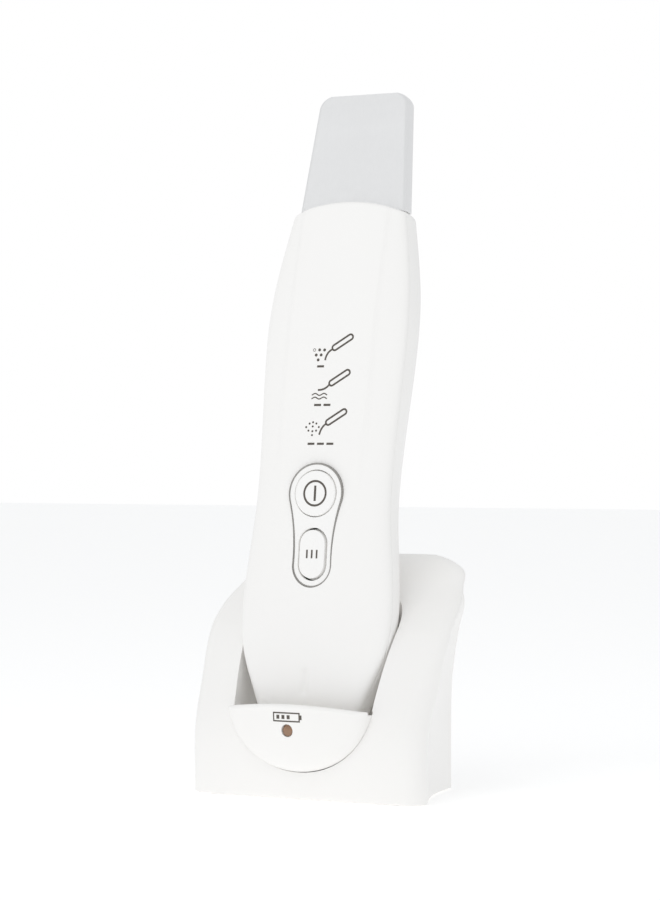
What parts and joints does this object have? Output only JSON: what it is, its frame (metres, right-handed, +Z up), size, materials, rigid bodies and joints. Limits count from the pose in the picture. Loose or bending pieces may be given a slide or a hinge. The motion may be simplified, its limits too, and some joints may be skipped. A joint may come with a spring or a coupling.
{
  "type": "ultrasonic skin scrubber with charging cradle",
  "caption": "Slim handset with a flat spatula blade and two buttons, standing tilted back in a sculpted charging cradle with a half-round front panel.",
  "frame": {"origin": "on the surface it stands on, under the middle of the bounding box", "axes": "+Z up, +Y towards the cradle's back, +X to the right as seen from the front"},
  "size_m": [0.0836, 0.06, 0.2178],
  "materials": {
    "cradle_white": "glossy moulded ABS, pure white",
    "case_white": "glossy moulded ABS, pure white",
    "button_white": "satin moulded plastic",
    "led_amber": "tinted translucent lens, unlit",
    "clear_resin": "clear epoxy",
    "foot_rubber": "matt soft rubber",
    "seal_rubber": "soft silicone rubber",
    "zinc_steel": "zinc-plated steel",
    "blade_steel": "fine vertical brushing",
    "machined_steel": "turned steel",
    "machined_aluminium": "turned aluminium",
    "chrome_trim": "bright plated trim",
    "gold_plate": "gold-plated brass",
    "black_plastic": "moulded black plastic",
    "circuit_board": "green solder mask",
    "piezo_ceramic": "silver-faced piezo ceramic",
    "copper_coil": "enamelled copper winding on a bobbin",
    "cell_sleeve": "shrink sleeve"
  },
  "bodies": {
    "cradle": {"cradle_body": "cradle_white", "cradle_front_panel": "cradle_white", "charge_led_lens": "led_amber", "charge_led": "clear_resin", "cradle_base_plate": "cradle_white", "cradle_feet": "foot_rubber", "cradle_screws": "zinc_steel", "contact_block": "black_plastic", "contact_springs": "zinc_steel", "charge_pcb": "circuit_board", "dc_jack": "black_plastic"},
    "contacts": {"contact_pins": "gold_plate"},
    "handset": {"front_shell": "case_white", "rear_shell": "case_white", "button_bezel": "case_white", "button_bezel_rim": "chrome_trim", "spatula_blade": "blade_steel", "blade_seal": "seal_rubber", "transducer_horn": "machined_aluminium", "piezo_rings": "piezo_ceramic", "transducer_back_mass": "machined_steel", "transducer_bolt": "zinc_steel", "transducer_mounts": "foot_rubber", "main_pcb": "circuit_board", "tact_switches": "black_plastic", "mode_leds": "clear_resin", "ultrasonic_coil": "copper_coil", "battery_cells": "cell_sleeve", "battery_terminals": "zinc_steel", "charging_contacts": "gold_plate", "hand_electrode": "blade_steel", "case_screws": "zinc_steel"},
    "power_key": {"power_button": "button_white"},
    "set_key": {"set_button": "button_white"}
  },
  "joints": [
    {"name": "handset_lift", "type": "slide", "parent": "cradle", "child": "handset", "axis": [0, 0.1685, 0.9857], "range_m": [0, 0.09]},
    {"name": "contact_pins_press", "type": "slide", "parent": "cradle", "child": "contacts", "axis": [0, 0.1685, 0.9857], "range_m": [-0.001, 0], "stiffness_N_per_m": 300, "springref_m": 0.001},
    {"name": "power_press", "type": "slide", "parent": "handset", "child": "power_key", "axis": [0, 0.9943, -0.1063], "range_m": [0, 0.0008], "stiffness_N_per_m": 1500, "springref_m": -0.0006},
    {"name": "set_press", "type": "slide", "parent": "handset", "child": "set_key", "axis": [0, 0.9943, -0.1063], "range_m": [0, 0.0008], "stiffness_N_per_m": 1500, "springref_m": -0.0006}
  ]
}
